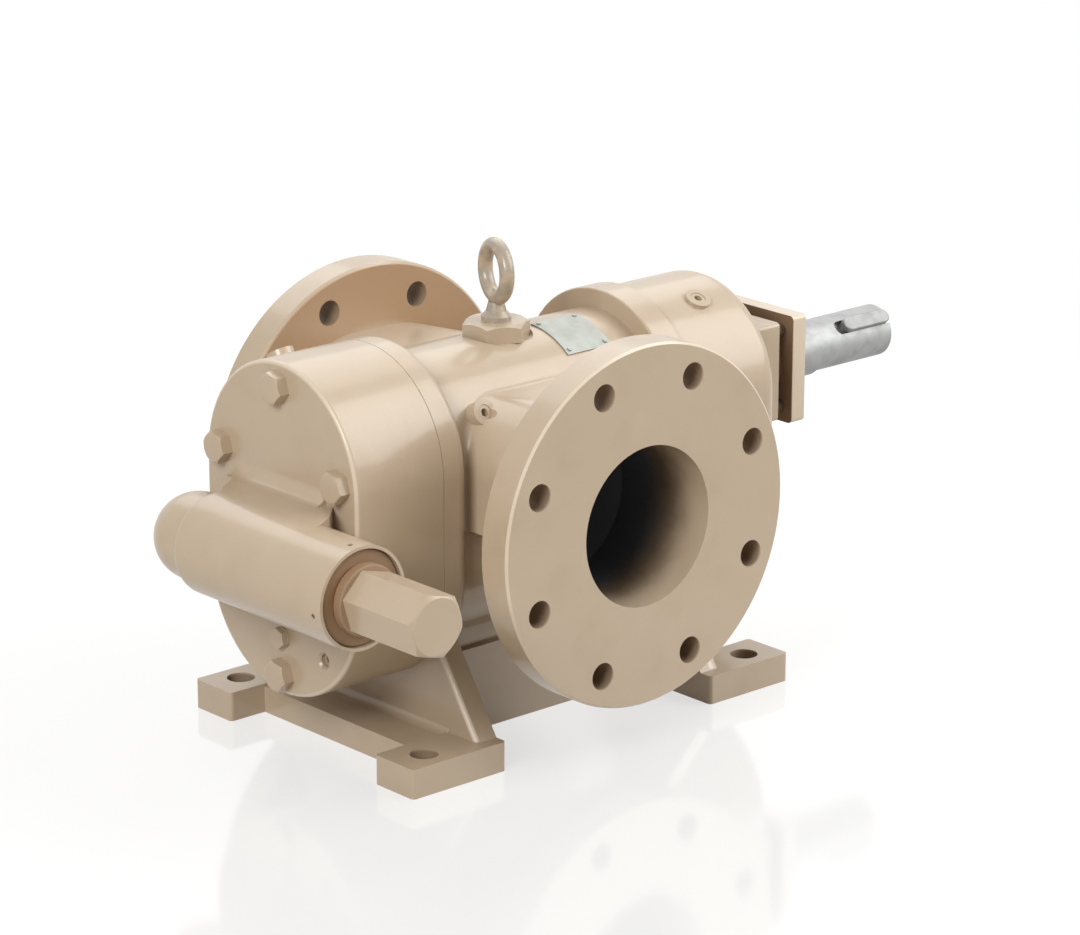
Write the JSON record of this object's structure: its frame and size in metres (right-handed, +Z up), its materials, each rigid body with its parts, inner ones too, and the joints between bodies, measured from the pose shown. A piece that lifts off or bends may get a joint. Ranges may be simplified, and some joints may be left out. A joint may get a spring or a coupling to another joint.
{
  "type": "gear pump",
  "caption": "Foot-mounted external gear pump with flanged side ports, a built-on relief valve under a hexagon cap, a packed gland, a keyed drive shaft and a lifting eye.",
  "frame": {"origin": "on the floor, in the middle of the foot bolt pattern, under the centre of both ports", "axes": "+X along the drive shaft towards its coupling end, -Y out of the suction port, +Y out of the discharge port, +Z up"},
  "size_m": [0.581, 0.328, 0.3005],
  "materials": {
    "cast_paint": "satin beige paint over cast iron",
    "part_paint": "satin beige paint over turned steel",
    "shaft_steel": "ground steel with light handling marks",
    "key_steel": "bright drawn key steel",
    "gear_steel": "case-hardened ground steel, oiled",
    "bright_steel": "plain machined steel",
    "screw_steel": "black oxide",
    "spring_steel": "shot-peened spring wire",
    "bronze": "machined bearing bronze",
    "packing_fibre": "braided graphite fibre",
    "gasket_sheet": "pressed fibre sheet",
    "plate_metal": "satin, bare",
    "eye_steel": "forged steel with thin paint"
  },
  "bodies": {
    "pump": {"pump_casing": "cast_paint", "front_cover": "cast_paint", "rear_cover": "cast_paint", "front_gasket": "gasket_sheet", "rear_gasket": "gasket_sheet", "front_side_plate": "bronze", "rear_side_plate": "bronze", "front_drive_bush": "bronze", "front_driven_bush": "bronze", "rear_drive_bush": "bronze", "rear_driven_bush": "bronze", "gland_packing": "packing_fibre", "lantern_ring": "bronze", "front_cover_bolts": "part_paint", "rear_cover_screws": "part_paint", "dowel_pins": "bright_steel", "flush_plug": "part_paint", "vent_plug": "part_paint", "gauge_plug": "part_paint", "drain_plug": "part_paint", "jack_screw": "part_paint", "valve_seat": "bright_steel", "relief_spring": "spring_steel", "adjusting_bush": "part_paint", "lock_nut": "bright_steel", "cap_gasket": "bronze", "relief_cap": "part_paint", "bonnet_lock_screws": "screw_steel", "lifting_plug": "part_paint", "eye_bolt": "eye_steel", "nameplate": "plate_metal", "nameplate_pins": "plate_metal"},
    "drive_rotor": {"drive_shaft": "shaft_steel", "coupling_key": "key_steel", "drive_gear": "gear_steel", "drive_gear_key": "key_steel", "drive_circlips": "spring_steel"},
    "driven_rotor": {"driven_shaft": "shaft_steel", "driven_gear": "gear_steel", "driven_gear_key": "key_steel", "driven_circlips": "spring_steel"},
    "gland": {"gland_follower": "part_paint", "gland_screws": "screw_steel"},
    "relief_piston": {"valve_poppet": "bright_steel"},
    "spring_disc": {"spring_seat": "bright_steel"},
    "set_screw": {"adjusting_screw": "bright_steel"}
  },
  "joints": [
    {"name": "drive_spin", "type": "hinge", "parent": "pump", "child": "drive_rotor", "pos_m": [0, 0, 0.18], "axis": [1, 0, 0], "continuous": true},
    {"name": "driven_spin", "type": "hinge", "parent": "pump", "child": "driven_rotor", "pos_m": [0, 0, 0.114], "axis": [1, 0, 0], "continuous": true},
    {"name": "gland_takeup", "type": "slide", "parent": "pump", "child": "gland", "axis": [-1, 0, 0], "range_m": [0, 0.005], "deforming": ["gland_packing"]},
    {"name": "relief_lift", "type": "slide", "parent": "pump", "child": "relief_piston", "axis": [0, -1, 0], "range_m": [0, 0.008], "stiffness_N_per_m": 16000, "springref_m": -0.004, "deforming": ["relief_spring"]},
    {"name": "disc_advance", "type": "slide", "parent": "pump", "child": "spring_disc", "axis": [0, 1, 0], "range_m": [0, 0.006], "deforming": ["relief_spring"]},
    {"name": "set_screw_turn", "type": "hinge", "parent": "spring_disc", "child": "set_screw", "pos_m": [-0.205, -0.12, 0.1415], "axis": [0, 1, 0], "range_deg": [0, 1440]}
  ],
  "couplings": [
    {"joint": "driven_spin", "follows": "drive_spin", "ratio": -1},
    {"joint": "set_screw_turn", "follows": "disc_advance", "rad_per_m": 4188.8}
  ]
}
